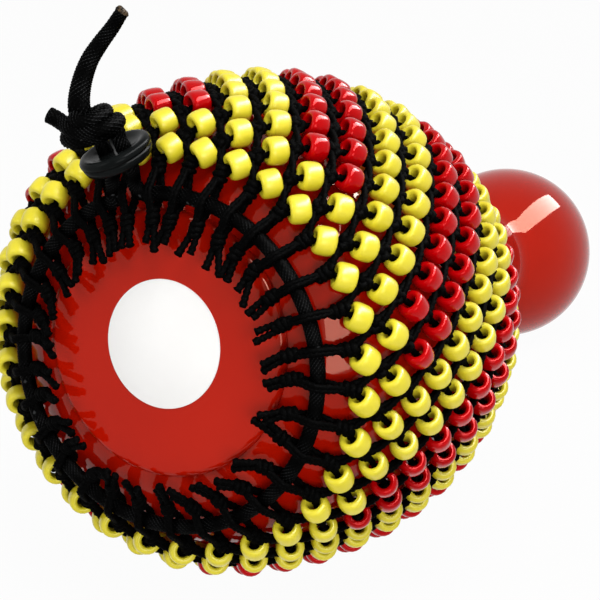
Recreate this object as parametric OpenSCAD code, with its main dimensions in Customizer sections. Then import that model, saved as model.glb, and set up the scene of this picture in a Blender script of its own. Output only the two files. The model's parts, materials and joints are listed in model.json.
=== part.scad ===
// Gourd cabasa: a hollow moulded gourd with a flat base and a bulb handle,
// dressed in a knotted cord net that is strung with pony beads.
// The gourd lies on its side, resting on the beads and on the handle bulb.
// Lengths are in millimetres and angles in degrees.

/* [Gourd] */
// Radius of the flat base plate
base_r = 42; // [40:0.5:44]
// Thickness of the base plate in front of its seat
plate_t = 2.7; // [2.2:0.1:3.4]
// Radius of the plate's rounded rim
plate_edge = 2; // [1:0.1:2.1]
// Depth of the spigot that centres the plate in the gourd's mouth
spigot_t = 3.5; // [2:0.5:6]
// Radius of the gourd's mouth behind the plate
mouth_r = 36.5; // [34:0.5:38]
// Radius of the rounded shoulder behind the base
shoulder_r = 31.6; // [30:0.2:33]
// Radius of the ring that the shoulder is rounded about
shoulder_ring_r = 39.1; // [38:0.1:40]
// Largest radius of the gourd's belly
belly_r = 74; // [73:0.5:78]
// Distance from the base to the widest place of the belly
belly_d = 64; // [60:1:68]
// Smallest radius of the neck
neck_r = 22; // [18:0.5:25]
// Distance from the base to the neck
neck_d = 206; // [200:1:215]
// Radius of the handle bulb
bulb_r = 36.6; // [33:0.2:40]
// Distance from the base to the centre of the bulb
bulb_d = 285; // [278:1:292]
// Wall thickness of the gourd
wall = 3; // [2:0.25:4]
// Radius of the round label on the base
label_r = 20.2; // [14:0.2:26]
// Thickness of the label
label_t = 0.3; // [0.2:0.05:0.6]

/* [Net] */
// Number of columns of knots around the gourd
columns = 32; // [32]
// Number of rows of beads
bead_rows = 14; // [12:1:14]
// Rows next to the base whose beads are all yellow
plain_rows = 2; // [0:1:4]
// Knots on each strand that gathers the net to the neck
gather_knots = 4; // [3:1:5]
// Distance from one row of knots to the next among the beads
row_pitch = 9.8; // [9.4:0.1:10]
// Distance along the gourd from the shoulder's foot to the first knots
first_knot_s = 23; // [22:0.5:24]
// Height of the net above the gourd
net_h = 4.7; // [4.5:0.1:5.4]
// How far the net has slipped towards the base on its upper side
net_slip = 6; // [0:0.5:6]
// Direction of the slip, seen from the base
slip_angle = 102; // [60:1:140]
// Angle of the first column of knots, seen from the base
net_phase = 8.8; // [0:0.1:11]
// Diameter of the net's cord
cord_d = 1.7; // [1.4:0.1:1.8]
// Diameter of a knot
knot_d = 4.6; // [4.4:0.1:4.8]
// Diameter of the doubled strands that gather the net to the neck
gather_d = 2.4; // [1.8:0.1:2.8]
// Diameter of the collar cord around the neck
collar_d = 4.4; // [3.4:0.1:5]

/* [Beads] */
// Outside diameter of a bead
bead_d = 9; // [8.4:0.1:9.2]
// Length of a bead
bead_len = 6; // [4.5:0.1:6.4]
// Diameter of a bead's hole
bead_hole = 4.2; // [4.1:0.1:4.8]
// How far a bead's axis stands out from the cord inside it
bead_lift = 0.9; // [0.7:0.05:0.95]

/* [Drawstring] */
// Diameter of the drawstring
string_d = 4.2; // [3.4:0.1:4.4]
// Distance along the gourd from the shoulder's foot to the drawstring
string_s = 13.5; // [13:0.25:14]
// Height of the drawstring above the gourd
string_h = 5.2; // [5.1:0.1:5.6]
// Clearance between cords and pieces that run past each other
clearance = 0.35; // [0.3:0.05:0.5]
// Diameter of a tassel knot
tassel_knot_d = 4.8; // [4.6:0.1:5]
// Distance from the drawstring to the tassel knot
tassel_reach = 7.5; // [7:0.25:8.5]
// Length of a tassel's cut ends
tassel_len = 9; // [5:0.5:11]
// Angle of each cut end from the tassel's middle line
tassel_splay = 24; // [23:1:28]
// Column at which the drawstring's ends come out
button_column = 9; // [9]
// Diameter of the button
button_d = 22.5; // [18:0.5:23]
// Thickness of the button
button_t = 6; // [5:0.25:7]
// Distance from the drawstring out to the middle of the button
button_out = 15.5; // [15.5:0.25:18]
// How far the button hangs forward of the drawstring
button_forward = 4.5; // [4.5:0.1:5]
// How far the button hangs to the right of its column
button_side = 5.8; // [5.4:0.1:6]
// Forward lean of the button
button_lean = 25; // [18:1:30]
// Distance between the drawstring's two ends
leg_gap = 6.5; // [6.2:0.1:7]
// Free travel of the button below its knot
button_travel = 3; // [2:0.5:4]
// Diameter of the braided cord in the knot, the stub and the tail
tail_d = 4.6; // [4:0.1:4.7]

/* [Hidden] */
ROUND = 16;
DEG = 180 / PI;

// Gourd's outline: shoulder, belly front, belly back and neck are tangent arcs.
shoulder_d = plate_t - 0.2 + shoulder_r;
belly_over = belly_r - shoulder_ring_r;
belly_run = belly_d - shoulder_d;
front_r = (pow(belly_over, 2) + pow(belly_run, 2) - pow(shoulder_r, 2)) / (2 * (belly_over - shoulder_r));
front_angle = asin(belly_run / (front_r - shoulder_r));
waist = belly_r - neck_r;
neck_run = neck_d - belly_d;
back_r = (pow(neck_run, 2) + pow(waist, 2)) / (4 * waist);
back_angle = asin(neck_run / (2 * back_r));
bulb_run = bulb_d - neck_d;
throat_r = (pow(bulb_run, 2) / (bulb_r - neck_r) - bulb_r - neck_r) / 2;
throat_angle = asin(bulb_run / (throat_r + bulb_r));

// Arc lengths of the net's line over the gourd.
len_shoulder = (shoulder_r + net_h) * (90 - front_angle) / DEG;
len_front = (front_r + net_h) * front_angle / DEG;
len_back = (back_r + net_h) * back_angle / DEG;
len_neck = (back_r - net_h) * back_angle / DEG;
collar_s = len_shoulder + len_front + len_back + len_neck;

// Net layout.
step = 360 / columns;
last_row_s = first_knot_s + bead_rows * row_pitch;
gather_pitch = (collar_s - last_row_s) / (gather_knots + 1);
knot_ease = 0.02;
loop_knot_d = 1.13 * knot_d;
loop_bend = 1.3;
gather_tie = 1.5;
collar_h = collar_d / 2 + clearance;
string_column = net_phase + button_column * step;
pass_h = string_d / 2 + cord_d / 2 + clearance + 0.3;
tassel_h = string_h + 1;

// Stop knot, stub and tail: forward, right and outward from the button's top at the end of its travel.
knot_foot = button_out + button_t / 2 + button_travel;
KNOT_RIGHT = [[1.2, 3.8, 2.9], [3.8, -2, 2.8], [4.3, -8, 2.9], [2.3, -11.9, 3.4], [-1.7, -12.4, 4.2],
    [-4.4, -9.2, 5.3], [-4.7, -4, 6.4], [-3.7, -0.2, 7.1], [-1.2, 2.1, 7.5], [1.9, 1.8, 7.6], [4, -0.8, 7.6],
    [3.9, -4.2, 8.2], [2.2, -6.6, 9.8]];
KNOT_LEFT = [[-1.6, -4.4, 2.8], [-4.1, -1, 3], [-3.4, 2.8, 3.5], [-0.7, 4.9, 4], [2.7, 4.4, 4.5], [4.8, 1.2, 4.8],
    [5.1, -3.4, 5.3], [4.3, -7.6, 6.6], [2.6, -10.6, 8.6], [2.1, -12.6, 10.6], [2, -14.6, 12.4]];
// Direction that neither route ever takes.
KNOT_REF = [0.18, 0.11, 0.98];
TAIL = [[0, -5.4, 8.6], [-0.2, -4.9, 11.5], [-2, -3.8, 15], [-4.5, -1.6, 19], [-7, 1.5, 22.7], [-9.5, 5.6, 25.8],
    [-11.5, 10.2, 28.7], [-13, 14.8, 32], [-13.5, 15.8, 32.6]];

function unit(v) = v / norm(v);
// Heights where two parts of an outline meet are kept to a micrometre.
function seam(x) = round(1000 * x) / 1000;
function slip(share, angle) = net_slip * share * sin(angle - slip_angle + 90);
// Smooth curve through a list of points, with n steps to each.
function bend_at(a, b, c, d, t) =
    (2 * b + (c - a) * t + (2 * a - 5 * b + 4 * c - d) * t * t + (3 * b - a - 3 * c + d) * t * t * t) / 2;
function curve(p, n) =
    let (last = len(p) - 1)
    concat([for (i = [0 : last - 1], k = [0 : n - 1])
        bend_at(i > 0 ? p[i - 1] : 2 * p[0] - p[1], p[i], p[i + 1],
            i + 1 < last ? p[i + 2] : 2 * p[last] - p[last - 1], k / n)], [p[last]]);
// Place on the gourd: radius, distance from the base, and the outward normal's two parts.
function meridian(s, h) =
    s < 0 ? [shoulder_ring_r + s, shoulder_d - shoulder_r - h, 0, -1] :
    s < len_shoulder ?
        let (t = 90 - s * DEG / (shoulder_r + net_h))
        [shoulder_ring_r + (shoulder_r + h) * cos(t), shoulder_d - (shoulder_r + h) * sin(t), cos(t), -sin(t)] :
    s < len_shoulder + len_front ?
        let (t = front_angle - (s - len_shoulder) * DEG / (front_r + net_h))
        [belly_r - front_r + (front_r + h) * cos(t), belly_d - (front_r + h) * sin(t), cos(t), -sin(t)] :
    s < len_shoulder + len_front + len_back ?
        let (t = (s - len_shoulder - len_front) * DEG / (back_r + net_h))
        [belly_r - back_r + (back_r + h) * cos(t), belly_d + (back_r + h) * sin(t), cos(t), sin(t)] :
        let (t = back_angle - (s - len_shoulder - len_front - len_back) * DEG / (back_r - net_h))
        [neck_r + back_r - (back_r - h) * cos(t), neck_d - (back_r - h) * sin(t), cos(t), sin(t)];
// Point seen from the base: angles run anticlockwise from the right.
function spun(m, angle) = [-m[0] * cos(angle), m[0] * sin(angle), m[1]];
function outward(m, angle) = [-m[2] * cos(angle), m[2] * sin(angle), m[3]];
function on_gourd(s, h, angle, share = 1) = spun(meridian(s - slip(share, angle), h), angle);

function column_angle(row, column) = net_phase + (column + row / 2) * step;
function row_s(row) = first_knot_s + row * row_pitch;
// The slip dies out from the base to the last row of knots.
function row_share(row) = 1 - row / bead_rows;
function knot_at(row, column) = on_gourd(row_s(row), net_h, column_angle(row, column), row_share(row));
// Places along a gathering strand, from the last row of knots to the collar.
function gather_at(k, column) =
    let (angle = column_angle(bead_rows, column))
    k > gather_knots ? spun(meridian(collar_s, collar_h), angle) :
    spun(meridian(last_row_s + k * gather_pitch, net_h), angle);
// A bead's cord runs from its knot to the next row, one half column clockwise.
function bead_ends(row, column) = [knot_at(row, column), knot_at(row + 1, column - 1)];
function bead_out(row, column) =
    let (angle = column_angle(row, column) - step / 4, share = row_share(row + 0.5))
    outward(meridian(row_s(row) + row_pitch / 2 - slip(share, angle), net_h), angle);
function bead_at(row, column) =
    let (ends = bead_ends(row, column)) (ends[0] + ends[1]) / 2 + bead_lift * bead_out(row, column);
function is_red(row, column) = row >= plain_rows && (column % 4 == 0 || column % 4 == 3);

// Resting tilt: the lowest bead and the handle bulb touch the same floor.
LOW_BEADS = [for (row = [3 : bead_rows - 1], column = [0 : columns - 1])
    let (p = bead_at(row, column)) if (p[1] < -belly_r / 2) p];
function beads_low(tilt) = min([for (p = LOW_BEADS) p[1] * cos(tilt) - p[2] * sin(tilt)]) - bead_d / 2;
function bulb_low(tilt) = -bulb_d * sin(tilt) - bulb_r;
function rest_tilt(low, high, turns) =
    let (mid = (low + high) / 2)
    turns == 0 ? mid :
    beads_low(mid) < bulb_low(mid) ? rest_tilt(mid, high, turns - 1) : rest_tilt(low, mid, turns - 1);
lie_tilt = rest_tilt(0, 30, 24);
floor_z = bulb_low(lie_tilt);

function tassel_tip(column, side) =
    let (angle = column_angle(0, column))
    on_gourd(string_s - tassel_reach - tassel_len * cos(tassel_splay), tassel_h + 1,
        angle + side * tassel_len * sin(tassel_splay) / shoulder_ring_r * DEG);
FRONT = [for (column = [0 : columns - 1], side = [-1, 1])
    let (p = tassel_tip(column, side)) p[2] * cos(lie_tilt) + p[1] * sin(lie_tilt)];
front_x = min(FRONT) - cord_d / 2;
rear_x = bulb_d * cos(lie_tilt) + bulb_r;
centre_x = (front_x + rear_x) / 2;

// Lays the gourd, built along its own axis, on the floor.
module lay() {
    translate([-centre_x, 0, -floor_z]) rotate([0, 90 + lie_tilt, 0]) rotate([0, 0, 90]) children();
}

// Button's frame: forward, right and outward from the drawstring.
string_place = meridian(string_s - slip(1, string_column), string_h);
module at_button() {
    rotate([0, 0, 180 - string_column]) translate([string_place[0], 0, string_place[1]])
        rotate([0, 90 + button_lean, 0]) translate([button_forward, button_side, 0]) children();
}
function from_button(p) =
    let (x = string_place[0] - p[0] * sin(button_lean) + p[2] * cos(button_lean),
         z = string_place[1] - p[0] * cos(button_lean) - p[2] * sin(button_lean),
         turn = 180 - string_column)
    [x * cos(turn) - p[1] * sin(turn), x * sin(turn) + p[1] * cos(turn), z];

module rod(a, b, d) {
    v = b - a;
    translate(a) rotate([0, acos(v[2] / norm(v)), atan2(v[1], v[0])]) cylinder(h = norm(v), d = d, $fn = ROUND);
}

module ball(p, d) { translate(p) sphere(d = d, $fn = ROUND); }

// Round tube along a list of points; ref is never along the tube.
module tube(points, d, ref, sides = 8, closed = false) {
    n = len(points);
    function ahead(i) = closed ? points[(i + 1) % n] : points[min(i + 1, n - 1)];
    function behind(i) = closed ? points[(i + n - 1) % n] : points[max(i - 1, 0)];
    rings = [for (i = [0 : n - 1], k = [0 : sides - 1])
        let (t = unit(ahead(i) - behind(i)), a = unit(cross(t, ref)), b = cross(a, t))
        points[i] + d / 2 * (cos(360 * k / sides) * a + sin(360 * k / sides) * b)];
    last = closed ? n - 1 : n - 2;
    skin = [for (i = [0 : last], k = [0 : sides - 1], half = [0, 1])
        let (p = i * sides, q = (i + 1) % n * sides, m = (k + 1) % sides)
        half == 0 ? [p + k, q + k, q + m] : [p + k, q + m, p + m]];
    caps = closed ? [] : concat([[for (k = [0 : sides - 1]) k]],
        [[for (k = [0 : sides - 1]) n * sides - 1 - k]]);
    polyhedron(points = rings, faces = concat(skin, caps), convexity = 8);
}

// Half of the gourd's section, drawn inside the outer face by an inset.
module gourd_section(inset) {
    front_top = seam(shoulder_d - (shoulder_r - inset) * sin(front_angle));
    back_top = seam(belly_d + (back_r - inset) * sin(back_angle));
    throat_top = seam(neck_d + (throat_r + inset) * sin(throat_angle));
    foot = seam(shoulder_d - shoulder_r + inset);
    intersection() {
        translate([shoulder_ring_r, shoulder_d]) circle(r = shoulder_r - inset, $fn = 96);
        translate([shoulder_ring_r, 0])
            square([belly_r, front_top]);
    }
    translate([0, foot]) square([shoulder_ring_r, front_top - foot]);
    intersection() {
        translate([belly_r - front_r, belly_d]) circle(r = front_r - inset, $fn = 96);
        translate([0, front_top]) square([belly_r, belly_d - front_top]);
    }
    intersection() {
        translate([belly_r - back_r, belly_d]) circle(r = back_r - inset, $fn = 96);
        translate([0, belly_d]) square([belly_r, back_top - belly_d]);
    }
    difference() {
        translate([0, back_top]) square([belly_r, neck_d - back_top]);
        translate([neck_r + back_r, neck_d]) circle(r = back_r + inset, $fn = 96);
    }
    difference() {
        translate([0, neck_d]) square([belly_r, throat_top - neck_d]);
        translate([neck_r + throat_r, neck_d]) circle(r = throat_r + inset, $fn = 96);
    }
    intersection() {
        translate([0, bulb_d]) circle(r = bulb_r - inset, $fn = 96);
        translate([0, throat_top]) square([bulb_r, bulb_d + bulb_r - throat_top]);
    }
}

module gourd_shell() {
    color("firebrick") lay() rotate_extrude($fn = 96) difference() {
        gourd_section(0);
        gourd_section(wall);
        square([mouth_r, plate_t + 2 * wall]);
        square([belly_r, plate_t]);
    }
}

module base_plate() {
    flat_r = base_r - plate_edge;
    color("firebrick") lay() rotate_extrude($fn = 96) union() {
        square([flat_r, plate_t]);
        translate([0, plate_edge]) square([base_r, plate_t - plate_edge]);
        translate([flat_r, plate_edge]) intersection() {
            circle(r = plate_edge, $fn = 48);
            translate([0, -plate_edge]) square(plate_edge);
        }
        translate([0, plate_t]) square([mouth_r - clearance, spigot_t]);
    }
}

module base_label() {
    color("whitesmoke") lay() translate([0, 0, -label_t]) cylinder(h = label_t, r = label_r, $fn = 96);
}

// Cord from the face of one knot to the face of the next.
module strand(a, a_d, b, b_d, d) {
    v = unit(b - a);
    rod(a + (a_d / 2 + knot_ease) * v, b - (b_d / 2 + knot_ease) * v, d);
}

// Row of knots with the strands that come up to it from the row before.
module knot_row(row) {
    before_d = row == 1 ? loop_knot_d : knot_d;
    color("black") lay() for (column = [0 : columns - 1]) {
        here = knot_at(row, column);
        ball(here, knot_d);
        for (there = [knot_at(row - 1, column), knot_at(row - 1, column + 1)])
            strand(there, before_d, here, knot_d, cord_d);
    }
}

// First knot, the loop that holds the drawstring, and the tassel.
module tassel(column) {
    angle = column_angle(0, column);
    first = knot_at(0, column);
    end = on_gourd(string_s - tassel_reach, tassel_h, angle);
    bend_d = loop_bend * cord_d;
    ball(first, loop_knot_d);
    for (side = [-1, 1]) {
        bend = on_gourd(string_s, string_h + side * pass_h, angle);
        strand(first, loop_knot_d, bend, bend_d, cord_d);
        ball(bend, bend_d);
        strand(bend, bend_d, end, tassel_knot_d, cord_d);
        strand(end, tassel_knot_d, tassel_tip(column, side), 0, cord_d);
    }
    ball(end, tassel_knot_d);
}

module tassel_row() {
    color("black") lay() for (column = [0 : columns - 1]) tassel(column);
}

module neck_collar() {
    color("black") lay() translate([0, 0, neck_d]) rotate_extrude($fn = 96)
        translate([neck_r + collar_h, 0]) circle(d = collar_d, $fn = ROUND);
}

// Doubled strands with a small knot at each place where they are tied together.
module gather_strands() {
    tie_d = gather_tie * gather_d;
    color("black") lay() for (column = [0 : columns - 1]) {
        strand(knot_at(bead_rows, column), knot_d, gather_at(1, column), tie_d, gather_d);
        for (k = [1 : gather_knots]) {
            ball(gather_at(k, column), tie_d);
            strand(gather_at(k, column), tie_d, gather_at(k + 1, column), k < gather_knots ? tie_d : collar_d, gather_d);
        }
    }
}

// Pony bead: a ball with flat ends, slanted shoulders and a hole.
bead_face_r = bead_hole / 2 + 0.55;
shoulder_fall = 0.73;
module bead_section() {
    wide = bead_d / 2 + 0.2;
    half = bead_len / 2;
    side = half - shoulder_fall * (wide - bead_face_r);
    intersection() {
        circle(d = bead_d, $fn = 48);
        polygon([[bead_hole / 2, -half], [bead_face_r, -half], [wide, -side], [wide, side],
            [bead_face_r, half], [bead_hole / 2, half]]);
    }
}

module bead(row, column) {
    ends = bead_ends(row, column);
    v = unit(ends[1] - ends[0]);
    translate(bead_at(row, column)) rotate([0, acos(v[2]), atan2(v[1], v[0])])
        rotate_extrude($fn = ROUND) bead_section();
}

module bead_row(row, red) {
    color(red ? "red" : "yellow") lay() for (column = [0 : columns - 1])
        if (is_red(row, column) == red) bead(row, column);
}

// The drawstring leaves the button by one hole, goes round, and comes back by the other.
bend_angle = step - (cord_d + string_d) / 2 / string_place[0] * DEG - 1;
// Each end goes straight through the button and then leans back to the ring.
function leg(side) =
    let (hole = button_side + side * leg_gap / 2, foot = side * (leg_gap / 2 + 0.8), low = button_out - button_t / 2 - 0.5)
    [for (p = concat([[button_forward, hole, knot_foot + 2]], curve([[button_forward, hole, low],
        [button_forward * 0.55, hole * 0.55 + foot * 0.45, low * 0.6 + 1.3], [0.2, foot, 3.2]], 4))) from_button(p)];
ring_points = [for (k = [0 : 60]) let (angle = string_column + bend_angle + k * (360 - 2 * bend_angle) / 60)
    on_gourd(string_s, string_h, angle)];
other_leg = leg(1);
string_points = concat(leg(-1), ring_points, [for (k = [len(other_leg) - 1 : -1 : 0]) other_leg[k]]);

module drawstring() {
    color("black") lay() tube(string_points, string_d, [0, 0, 1]);
}

module drawstring_button() {
    rim = button_d / 2;
    groove = button_t / 12;
    color("black") lay() at_button() translate([0, 0, button_out]) difference() {
        union() {
            cylinder(h = button_t / 2, r1 = rim, r2 = rim - groove, $fn = 64);
            translate([0, 0, -button_t / 2]) cylinder(h = button_t / 2, r1 = rim - 2 * groove, r2 = rim, $fn = 64);
        }
        translate([0, 0, button_t / 2 + 5 * rim - button_t / 4]) sphere(r = 5 * rim - button_t / 8, $fn = 64);
        for (side = [-1, 1]) translate([0, side * leg_gap / 2, 0])
            cylinder(h = 3 * button_t, d = string_d + 2 * clearance, center = true, $fn = ROUND);
    }
}

// Overhand knot: the right end wraps round the left one and goes on as the tail.
module drawstring_knot() {
    color("black") lay() at_button() translate([0, 0, knot_foot]) tube(curve(KNOT_RIGHT, 4), tail_d, KNOT_REF);
}

// The left end wraps through the knot and is cut short.
module drawstring_stub() {
    color("black") lay() at_button() translate([0, 0, knot_foot]) tube(curve(KNOT_LEFT, 4), tail_d, KNOT_REF);
}

module drawstring_tail() {
    color("black") lay() at_button() translate([0, 0, knot_foot]) tube(curve(TAIL, 2), tail_d, [1, 0, 0]);
}

function two(n) = n < 10 ? str("0", n) : str(n);
YELLOW = [for (row = [0 : bead_rows - 1]) str("yellow_beads_", two(row + 1))];
RED = [for (row = [plain_rows : bead_rows - 1]) str("red_beads_", two(row + 1))];
KNOTS = [for (row = [1 : bead_rows]) str("net_knots_", two(row))];

gourd_shell();
base_plate();
base_label();
tassel_row();
gather_strands();
neck_collar();
drawstring();
drawstring_button();
drawstring_knot();
drawstring_stub();
drawstring_tail();
for (row = [1 : bead_rows]) knot_row(row);
for (row = [0 : bead_rows - 1]) bead_row(row, false);
for (row = [plain_rows : bead_rows - 1])
    bead_row(row, true);
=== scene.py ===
# %% [markdown]
# # A gourd cabasa, dressed over its solids
# A cabasa of this kind is a hollow moulded gourd with a loose net of beads
# around it. The solids already hold every piece in its place. This lesson
# replaces them with finer meshes and gives each one a finish of its own.

# %% Load the solids
import json
import math
import random

import bpy
import numpy as np
from mathutils import Matrix, Vector


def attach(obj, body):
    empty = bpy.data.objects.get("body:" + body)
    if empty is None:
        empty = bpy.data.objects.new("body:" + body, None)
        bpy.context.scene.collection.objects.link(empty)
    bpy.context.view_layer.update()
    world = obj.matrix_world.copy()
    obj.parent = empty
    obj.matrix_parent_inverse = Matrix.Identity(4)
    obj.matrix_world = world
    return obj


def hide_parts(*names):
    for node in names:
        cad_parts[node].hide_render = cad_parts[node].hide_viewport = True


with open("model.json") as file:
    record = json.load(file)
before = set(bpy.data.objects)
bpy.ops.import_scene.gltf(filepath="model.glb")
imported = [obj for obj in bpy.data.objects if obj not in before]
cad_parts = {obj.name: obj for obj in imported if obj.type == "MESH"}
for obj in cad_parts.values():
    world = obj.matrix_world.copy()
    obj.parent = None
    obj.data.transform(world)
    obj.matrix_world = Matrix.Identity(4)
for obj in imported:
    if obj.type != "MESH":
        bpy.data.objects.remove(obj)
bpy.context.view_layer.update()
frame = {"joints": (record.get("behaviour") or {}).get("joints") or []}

# %% [markdown]
# ## The gourd's own frame
# Everything on the cabasa is laid out round the gourd's axis, so the pieces
# are drawn in millimetres along that axis and only then moved to the floor.
# The turning joint of the net already says where the axis is.

# %% From gourd millimetres to the floor
MM = 0.001
net_turn = next(j for j in frame["joints"] if j["name"] == "net_turn")
base_centre = np.array(net_turn["pos_m"])
along = Vector(net_turn["axis"]).normalized()
across = Vector((0, 1, 0))
rise = along.cross(across)
gourd_axes = np.array([across, rise, along])


def to_row(points):
    """Points in gourd millimetres, as metres in the shared frame."""
    return base_centre + np.asarray(points, float) @ gourd_axes * MM


def unit(v):
    """The same direction with a length of one."""
    v = np.asarray(v, float)
    return v / np.linalg.norm(v)


print("base centre", base_centre.round(4), "axis", np.array(along).round(4))

# %% [markdown]
# ## Camera
# The camera comes first, because it tells which details show. The photograph
# was taken with a long lens: the ellipse of the base gives the turn of the
# gourd, and its place in the picture gives the rest. The picture is taken to
# be 600 by 600 pixels. The axis has one direction as the camera sees it and
# another in the room: pitch and heading are those that make the two agree.

# %% Find the camera's direction
PICTURE, LENS_PX = 600, 1900
BASE_PX, BASE_DEPTH = (163.5, 344), 0.585
VIEW_TURN, VIEW_LEAN = math.radians(33), math.radians(-15)

base_side, base_drop = ((px - PICTURE / 2) / LENS_PX for px in BASE_PX)
base_seen = Vector((base_side, base_drop, 1)) * BASE_DEPTH
sight = base_seen.normalized()
seen_right = Vector((0, 1, 0)).cross(sight).normalized()
seen_down = sight.cross(seen_right)
axis_seen = sight * math.cos(VIEW_TURN) + math.sin(VIEW_TURN) * (
    seen_right * math.cos(VIEW_LEAN) + seen_down * math.sin(VIEW_LEAN))
steep = math.hypot(axis_seen.y, axis_seen.z)
camera_pitch = math.asin(-along.z / steep) + math.atan2(-axis_seen.y, axis_seen.z)
level = axis_seen.z * math.cos(camera_pitch) - axis_seen.y * math.sin(camera_pitch)
heading = math.atan2(axis_seen.x, level)
print("pitch", round(math.degrees(camera_pitch), 1), "heading", round(math.degrees(heading), 1))

# %% Set the camera
SENSOR_MM = 36
UP = Vector((0, 0, 1))
ahead = Vector((math.cos(heading), math.sin(heading), 0))
look = ahead * math.cos(camera_pitch) - UP * math.sin(camera_pitch)
right = Vector((math.sin(heading), -math.cos(heading), 0))
down = look.cross(right)
camera_data = bpy.data.cameras.new("camera")
camera_data.sensor_width = SENSOR_MM
camera_data.lens = SENSOR_MM * LENS_PX / PICTURE
camera = bpy.data.objects.new("camera", camera_data)
bpy.context.scene.collection.objects.link(camera)
camera.matrix_world = Matrix((right, -down, -look)).transposed().to_4x4()
to_base = right * base_seen.x + down * base_seen.y + look * base_seen.z
camera.location = Vector(base_centre) - to_base
bpy.context.scene.camera = camera
print("camera", camera.location)

# %% [markdown]
# ## Where the net lies
# The gourd's outline is a chain of arcs that meet smoothly: shoulder, front
# and back of the belly, and neck. A place on the net is a distance along that
# outline, a height above it and an angle round the axis. The sizes are those
# of the solids, so each new piece lands on the one that it replaces.

# %% The gourd's outline
PLATE_T, SHOULDER_R, SHOULDER_RING_R, SHOULDER_LAP = 2.7, 31.6, 39.1, 0.2
BELLY_R, BELLY_D, NECK_R, NECK_D = 74.0, 64.0, 22.0, 206.0
NET_H = 4.7

shoulder_d = PLATE_T - SHOULDER_LAP + SHOULDER_R
belly_over, belly_run = BELLY_R - SHOULDER_RING_R, BELLY_D - shoulder_d
front_r = (belly_over**2 + belly_run**2 - SHOULDER_R**2) / (2 * (belly_over - SHOULDER_R))
front_turn = math.asin(belly_run / (front_r - SHOULDER_R))
waist, neck_run = BELLY_R - NECK_R, NECK_D - BELLY_D
back_r = (neck_run**2 + waist**2) / (4 * waist)
back_turn = math.asin(neck_run / (2 * back_r))
len_shoulder = (SHOULDER_R + NET_H) * (math.pi / 2 - front_turn)
len_front = (front_r + NET_H) * front_turn
len_back = (back_r + NET_H) * back_turn
len_neck = (back_r - NET_H) * back_turn
collar_s = len_shoulder + len_front + len_back + len_neck


def outline(s, h):
    """Radius and distance from the base, then the two parts of the outward direction."""
    if s < 0:
        return SHOULDER_RING_R + s, shoulder_d - SHOULDER_R - h, 0.0, -1.0
    if s < len_shoulder:
        t = math.pi / 2 - s / (SHOULDER_R + NET_H)
        ring, d, r = SHOULDER_RING_R, shoulder_d, SHOULDER_R
    elif s < len_shoulder + len_front:
        t = front_turn - (s - len_shoulder) / (front_r + NET_H)
        ring, d, r = BELLY_R - front_r, BELLY_D, front_r
    elif s < len_shoulder + len_front + len_back:
        t = -(s - len_shoulder - len_front) / (back_r + NET_H)
        ring, d, r = BELLY_R - back_r, BELLY_D, back_r
    else:
        t = back_turn - (s - len_shoulder - len_front - len_back) / (back_r - NET_H)
        c, k = math.cos(t), math.sin(t)
        return NECK_R + back_r - (back_r - h) * c, NECK_D - (back_r - h) * k, c, k
    c, k = math.cos(t), -math.sin(t)
    return ring + (r + h) * c, d + (r + h) * k, c, k


print("outline: collar at", round(collar_s, 1), "mm from the shoulder's foot")

# %% Places on the net
COLUMNS, BEAD_ROWS, PLAIN_ROWS, GATHER_KNOTS = 32, 14, 2, 4
STRIPE, RED_OF_STRIPE = 4, (0, 3)
ROW_PITCH, FIRST_KNOT_S = 9.8, 23.0
NET_SLIP, SLIP_ANGLE, NET_PHASE = 6.0, 102.0, 8.8
COLUMN_STEP = 360 / COLUMNS
last_row_s = FIRST_KNOT_S + BEAD_ROWS * ROW_PITCH
gather_pitch = (collar_s - last_row_s) / (GATHER_KNOTS + 1)


def around(place, angle):
    """A radius and a distance from the base, turned to an angle round the axis."""
    a = math.radians(angle)
    return np.array([-place[0] * math.cos(a), place[0] * math.sin(a), place[1]])


def slipped(s, share, angle):
    """The net has slipped towards the base on its upper side."""
    return s - NET_SLIP * share * math.cos(math.radians(angle - SLIP_ANGLE))


def on_gourd(s, h, angle, share=1.0):
    """A place on the slipped net, in gourd millimetres."""
    return around(outline(slipped(s, share, angle), h), angle)


def outward(s, angle, share=1.0):
    """The direction that leads straight out from the gourd at that place."""
    return around(outline(slipped(s, share, angle), NET_H)[2:], angle)


def column_angle(row, column):
    return NET_PHASE + (column + row / 2) * COLUMN_STEP


def row_place(row, column):
    """Distance along the outline, angle and share of the slip."""
    return FIRST_KNOT_S + row * ROW_PITCH, column_angle(row, column), 1 - row / BEAD_ROWS


def knot_at(row, column):
    s, angle, share = row_place(row, column)
    return on_gourd(s, NET_H, angle, share)


def knot_out(row, column):
    s, angle, share = row_place(row, column)
    return outward(s, angle, share)


def is_red(row, column):
    """Red beads make slanting stripes, from the third row on."""
    return row >= PLAIN_ROWS and column % STRIPE in RED_OF_STRIPE


print("net:", COLUMNS, "columns and", BEAD_ROWS, "rows of beads")

# %% [markdown]
# ## Tubes, turned shapes and copies
# Almost every piece here is a cord, a turned shape, or many copies of one
# small shape. A few helpers make these as plain arrays of points and faces,
# because joining arrays is much faster than joining thousands of objects.
# The tube carries its cross-section along the path without twisting it. It
# can raise the diamond pattern of a braided sleeve on its skin, or the two
# plies of a twisted cord, so that both are real relief and not only a bump.

# %% Smooth paths and rings of faces
CURVE_STEPS = 24


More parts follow.
